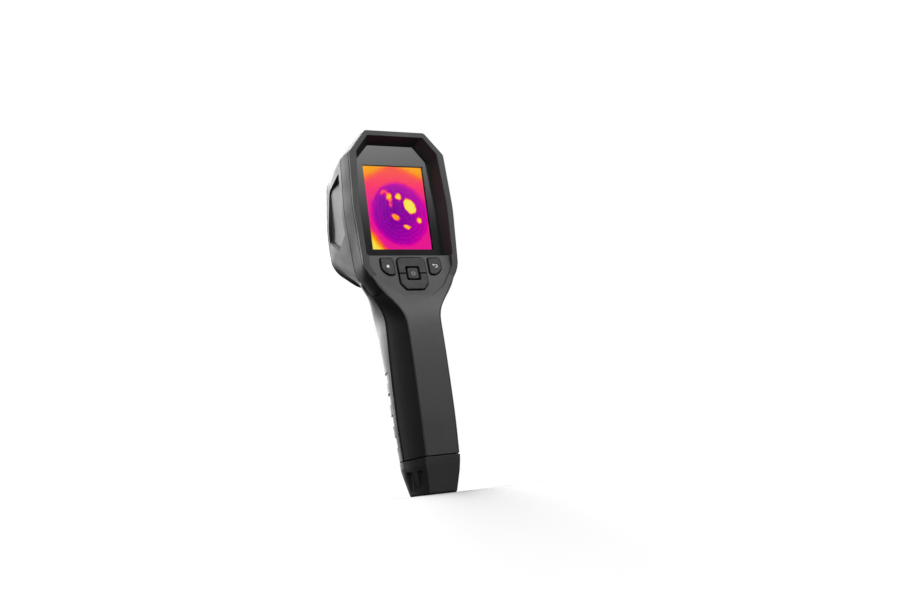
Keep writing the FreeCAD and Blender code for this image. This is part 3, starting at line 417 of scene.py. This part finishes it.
finishes = {
    "shell": moulded("shell_plastic", (0.022, 0.0225, 0.0235), 0.47),
    "bezel": moulded("bezel_plastic", (0.026, 0.0265, 0.0275), 0.46, 0.28, 0.012),
    # Painted shade: a darker copy of the shell plastic, so the rear cover's belt and flanks read darker
    "cover": moulded("shaded_cover_plastic", (0.013, 0.0133, 0.014), 0.52),
    "nose": moulded("nose_plastic", (0.022, 0.0225, 0.0235), 0.42, 0.28, 0.010),
    "panel": smooth("panel_plastic", (0.012, 0.012, 0.013), 0.2, Coat_Weight=0.4),
    # The side plate's grey base colour is partly its own colour and partly painted sheen, lightened to stand in
    # for its glancing reflection
    "side_plate": smooth("side_plate_plastic", (0.085, 0.087, 0.092), 0.34, 0.1, 0.0004, 0.3),
    "key_rubber": rubber("key_rubber", (0.018, 0.0185, 0.019)),
    "trigger": moulded("trigger_plastic", (0.018, 0.0185, 0.019), 0.36, 0.3, 0.006),
    "cover_glass": cover_glass(),
    "display": smooth("display_metal", (0.25, 0.25, 0.26), 0.35, 0.1, 0.001, Metallic=0.8),
    "lens_coating": coated_lens(),
    "lens_metal": metal("barrel_metal", (0.035, 0.035, 0.038), 0.36, lens_axis),
    "seal_rubber": rubber("seal_rubber", (0.016, 0.016, 0.017), 0.7),
    "circuit_board": board("circuit_board"),
    "electronics": smooth("component_bodies", (0.03, 0.03, 0.032), 0.45, 0.1, 0.01),
    "inner_frame": moulded("frame_plastic", (0.09, 0.09, 0.095), 0.5, 0.4, 0.02),
    "battery": wrapped_cell(),
    "lead": leads_cover(),
    "steel": metal("steel", (0.55, 0.55, 0.56), 0.3),
    "brass": metal("brass", (0.62, 0.42, 0.16), 0.3),
}
own_finish = {"rear_cover": "cover", "nose_ring": "nose", "trigger": "trigger"}
for part in frame["record"]["subparts"]:
    name = part["node"]
    if name in ("camera_window", "led_window"):
        finish = window_glass(name, name == "camera_window")
    else:
        finish = finishes[own_finish.get(name, part["material_slot"])]
    mesh = nodes[name].data
    mesh.materials.clear()
    mesh.materials.append(finish)


# --------------------------------------------------------------------- pieces
def piece(name, build, finish, body):
    """A mesh piece made by build(bm), in the object's frame, riding on a body."""
    bm = bmesh.new()
    build(bm)
    mesh = bpy.data.meshes.new(name)
    bmesh.ops.recalc_face_normals(bm, faces=bm.faces)
    bm.to_mesh(mesh)
    bm.free()
    made = bpy.data.objects.new(name, mesh)
    bpy.context.scene.collection.objects.link(made)
    mesh.materials.append(finish)
    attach(made, body)
    return made


def slab(bm, outline, low, high, chamfer):
    """A thin plate from a closed outline: low and high turn (a, b, inset) into points."""
    rings = [[low(a, b) for a, b in outline], [high(a, b, 0.0) for a, b in outline],
             [high(a, b, chamfer) for a, b in outline]]
    made = [[bm.verts.new(p) for p in ring] for ring in rings]
    count = len(outline)
    for lower, upper in zip(made, made[1:]):
        for i in range(count):
            j = (i + 1) % count
            bm.faces.new((lower[i], lower[j], upper[j], upper[i]))
    bm.faces.new(made[0][::-1])
    bm.faces.new(made[-1])


def lit_picture():
    centre, half_w, half_h = screen_place()
    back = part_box("display_module")[1].y
    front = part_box("display_glass")[0].y
    corner = 0.5 * MM
    outline = []
    for k in range(4):
        for step in range(5):
            angle = math.radians(90 * k + 22.5 * step)
            sx = 1 if k in (0, 3) else -1
            sz = 1 if k in (0, 1) else -1
            outline.append((sx * (half_w - corner) + corner * math.cos(angle),
                            sz * (half_h - corner) + corner * math.sin(angle)))
    gap = front - back

    def low(a, b):
        return Vector((centre.x + a, back + 0.1 * gap, centre.z + b))

    def high(a, b, inset):
        shrink = 1.0 - inset / half_w
        rise = 0.75 if inset else 0.6
        return Vector((centre.x + a * shrink, back + rise * gap, centre.z + b * shrink))

    return piece("screen_picture", lambda bm: slab(bm, outline, low, high, 0.08 * MM),
                 picture("thermal_picture"), "housing")


lit_picture()


def key_face(key_node, body):
    """The middle of a key's top, the way up along it, and its normal."""
    joint = next(j for j in frame["joints"] if j["child"] == body)
    normal = -Vector(joint["axis"]).normalized()
    up = Vector((1, 0, 0)).cross(normal)
    up = up if up.z > 0 else -up
    points = [v.co for v in nodes[key_node].data.vertices]
    height = max(p.dot(normal) for p in points)
    on_top = [p for p in points if height - p.dot(normal) < 0.01 * MM]
    low = Vector([min(p[i] for p in on_top) for i in range(3)])
    high = Vector([max(p[i] for p in on_top) for i in range(3)])
    middle = (low + high) / 2
    middle += normal * (height - middle.dot(normal))
    return middle, up, normal


INK_SUNK = 0.03      # mm, how far printed ink starts inside the key
INK_EDGE = 0.07      # mm, from there to the ink's bevel
INK_RISE = 0.08      # mm, from there to the ink's face
INK_BEVEL = 0.04     # share by which the ink's face is smaller than its foot


def print_on(name, key_node, outlines, finish):
    """Raised ink on a key: outlines are in millimetres, as the user sees them."""
    middle, up, normal = key_face(key_node, key_node)
    right = Vector((-1, 0, 0))

    def low(a, b):
        return middle + right * a * MM + up * b * MM - normal * INK_SUNK * MM

    def build(bm):
        for outline in outlines:
            ca = sum(a for a, _ in outline) / len(outline)
            cb = sum(b for _, b in outline) / len(outline)

            def high(a, b, inset):
                keep = 1.0 - (INK_BEVEL if inset else 0.0)
                rise = INK_RISE if inset else INK_EDGE
                return low(ca + (a - ca) * keep, cb + (b - cb) * keep) + normal * rise * MM

            slab(bm, outline, low, high, 1.0)

    return piece(name, build, finish, key_node)


def stroke(points, width):
    """The outline of a line of this width through the points, with round ends."""
    left, right = [], []
    for i, (x, y) in enumerate(points):
        x0, y0 = points[max(i - 1, 0)]
        x1, y1 = points[min(i + 1, len(points) - 1)]
        length = math.hypot(x1 - x0, y1 - y0)
        nx, ny = -(y1 - y0) / length * width / 2, (x1 - x0) / length * width / 2
        left.append((x + nx, y + ny))
        right.append((x - nx, y - ny))
    return left + right[::-1]


def arc(cx, cy, radius, start, end, count=16):
    turns = [math.radians(start + (end - start) * i / count) for i in range(count + 1)]
    return [(cx + radius * math.cos(turn), cy + radius * math.sin(turn)) for turn in turns]


white_ink = print_ink("white_ink", (0.78, 0.78, 0.78))
grey_ink = print_ink("grey_ink", (0.30, 0.30, 0.31))
print_on("menu_dot", "menu_key", [arc(0, 0, 0.85, 0, 342, 19)], white_ink)
bend = [(-0.9, 0.75), (0.55, 0.75)] + arc(0.55, -0.05, 0.8, 80, -90, 12) + [(-0.35, -0.85)]
arrow_head = [(-1.75, 0.75), (-0.85, 1.4), (-0.85, 0.1)]
print_on("back_arrow", "back_key", [stroke(bend, 0.34), arrow_head], white_ink)
print_on("power_mark", "power_key", [stroke(arc(0, -0.1, 1.05, 60, -240, 24), 0.3),
                                     stroke([(0, 0.2), (0, 1.25)], 0.3)], grey_ink)


# --------------------------------------------------------------------- studio
FLOOR_STEPS = 12     # strips in the floor's bend


def floor():
    """Pale floor: level under and behind the object, falling away in front of it, with a painted contact shadow
    round the object.
    """
    edge, fall, run = 10.5 * MM, math.radians(22), 0.06
    profile = [(-4.0, 0.0), (-1.0, 0.0), (-0.3, 0.0), (edge, 0.0)]
    y, z = edge, 0.0
    for i in range(1, FLOOR_STEPS + 1):
        slope = fall * i / FLOOR_STEPS
        y += run / FLOOR_STEPS * math.cos(slope)
        z -= run / FLOOR_STEPS * math.sin(slope)
        profile.append((y, z))
    for far in (0.3, 1.0, 4.0):
        profile.append((y + far, z - far * math.tan(fall)))
    bm = bmesh.new()
    rows = [[bm.verts.new((x, y, z)) for x in (-4.0, -1.0, 0.0, 1.0, 4.0)] for y, z in profile]
    for near, far in zip(rows, rows[1:]):
        for i in range(len(near) - 1):
            face = bm.faces.new((near[i], near[i + 1], far[i + 1], far[i]))
            face.smooth = True
    mesh = bpy.data.meshes.new("floor")
    bmesh.ops.recalc_face_normals(bm, faces=bm.faces)
    bm.to_mesh(mesh)
    bm.free()
    made = bpy.data.objects.new("floor", mesh)
    bpy.context.scene.collection.objects.link(made)
    material, g = graph("floor_white_painted_shadow")
    matte = g.node("ShaderNodeBsdfDiffuse")
    paper = g.mix(g.noise(300.0, 2.0), (0.70, 0.70, 0.70), (0.74, 0.74, 0.74))
    # Painted contact shadow: the floor's colour darkens towards 0.05 where the object shuts out light within 130
    # mm
    g.feed(matte.inputs["Color"], g.mix(g.openness(130.0, 0.5, 0.97, 0.0), (0.05, 0.05, 0.05), paper))
    g.surface(matte.outputs[0])
    mesh.materials.append(material)
    made.visible_diffuse = False
    made.visible_glossy = False


floor()


def lamp(name, place, aim, width, height, radiance):
    data = bpy.data.lights.new(name, "AREA")
    data.shape = "RECTANGLE"
    data.size, data.size_y = width, height
    data.energy = radiance * math.pi * width * height
    made = bpy.data.objects.new(name, data)
    made.location = place
    made.rotation_mode = "QUATERNION"
    made.rotation_quaternion = (Vector(aim) - Vector(place)).to_track_quat("-Z", "Y")
    bpy.context.scene.collection.objects.link(made)
    return made


lamp("key_softbox", place=(0.35, -0.05, 1.0), aim=(0, 0, 0.10), width=0.6, height=0.6, radiance=1.5)

# Bearing from +X, inner and outer half widths, lower edge's fade, upper edge's fade, in degrees; strength
PANELS = [(120.0, 30.0, 55.0, (14.5, 21.0), (60.0, 80.0), 3.2),
          (-93.0, 18.0, 31.0, (-2.0, 10.0), (50.0, 75.0), 7.0),
          (56.0, 6.0, 20.0, (-15.0, -5.0), (10.0, 22.0), 2.5),
          (0.0, 180.0, 181.0, (55.0, 80.0), (91.0, 92.0), 1.6)]


def surroundings():
    """White to the eye; for light, a dim room with soft bright panels round it."""
    world = bpy.data.worlds.new("studio")
    bpy.context.scene.world = world
    world.use_nodes = True
    g = Graph(world.node_tree)
    direction = g.node("ShaderNodeTexCoord").outputs["Generated"]

    x, y, z = g.axes(direction)
    level = g.math("SQRT", g.math("ADD", g.math("MULTIPLY", x, x), g.math("MULTIPLY", y, y)))

    def panel(bearing, inner, outer, rise, top, strength):
        """A soft-edged bright panel: a bearing from +X and its half widths, then where its lower
        and upper edges fade, all in degrees."""
        along = g.math("ADD", g.math("MULTIPLY", x, math.cos(math.radians(bearing))),
                       g.math("MULTIPLY", y, math.sin(math.radians(bearing))))
        wide = g.ramp(g.math("DIVIDE", along, level), math.cos(math.radians(outer)),
                      math.cos(math.radians(inner)))
        low = g.ramp(z, math.sin(math.radians(rise[0])), math.sin(math.radians(rise[1])))
        high = g.ramp(z, math.sin(math.radians(top[0])), math.sin(math.radians(top[1])), 1.0, 0.0)
        return g.math("MULTIPLY", g.math("MULTIPLY", wide, low), g.math("MULTIPLY", high, strength))

    total = g.ramp(z, -0.3, 1.0, 0.06, 0.35)
    for values in PANELS:
        total = g.math("ADD", total, panel(*values))
    light = g.node("ShaderNodeBackground")
    light.inputs["Color"].default_value = (1, 1, 1, 1)
    g.feed(light.inputs["Strength"], total)
    white = g.node("ShaderNodeBackground")
    white.inputs["Color"].default_value = (1, 1, 1, 1)
    seen = g.node("ShaderNodeLightPath")
    out = g.node("ShaderNodeOutputWorld")
    view = mixed(g, seen.outputs["Is Camera Ray"], light.outputs[0], white.outputs[0])
    g.feed(out.inputs["Surface"], view)


surroundings()
bpy.context.scene.view_settings.view_transform = "Standard"


# The view fitted to the photograph's left unit: millimetres, directions, and a place in metres
VIEW_LENS = 45.76
VIEW_SENSOR = 36.0
VIEW_FORWARD = (-0.494, -0.847, 0.194)
VIEW_RIGHT = (-0.869, 0.476, -0.134)
VIEW_PLACE = (0.3005, 0.5610, -0.0189)


def camera():
    data = bpy.data.cameras.new("view")
    data.lens = VIEW_LENS
    data.sensor_width = VIEW_SENSOR
    data.sensor_fit = "HORIZONTAL"
    data.clip_start = 0.01
    data.clip_end = 20.0
    forward = Vector(VIEW_FORWARD).normalized()
    right = Vector(VIEW_RIGHT)
    right = (right - forward * right.dot(forward)).normalized()
    up = right.cross(forward)
    turned = Matrix((right, up, -forward)).transposed().to_4x4()
    turned.translation = Vector(VIEW_PLACE)
    made = bpy.data.objects.new("view", data)
    made.matrix_world = turned
    bpy.context.scene.collection.objects.link(made)
    bpy.context.scene.camera = made


camera()
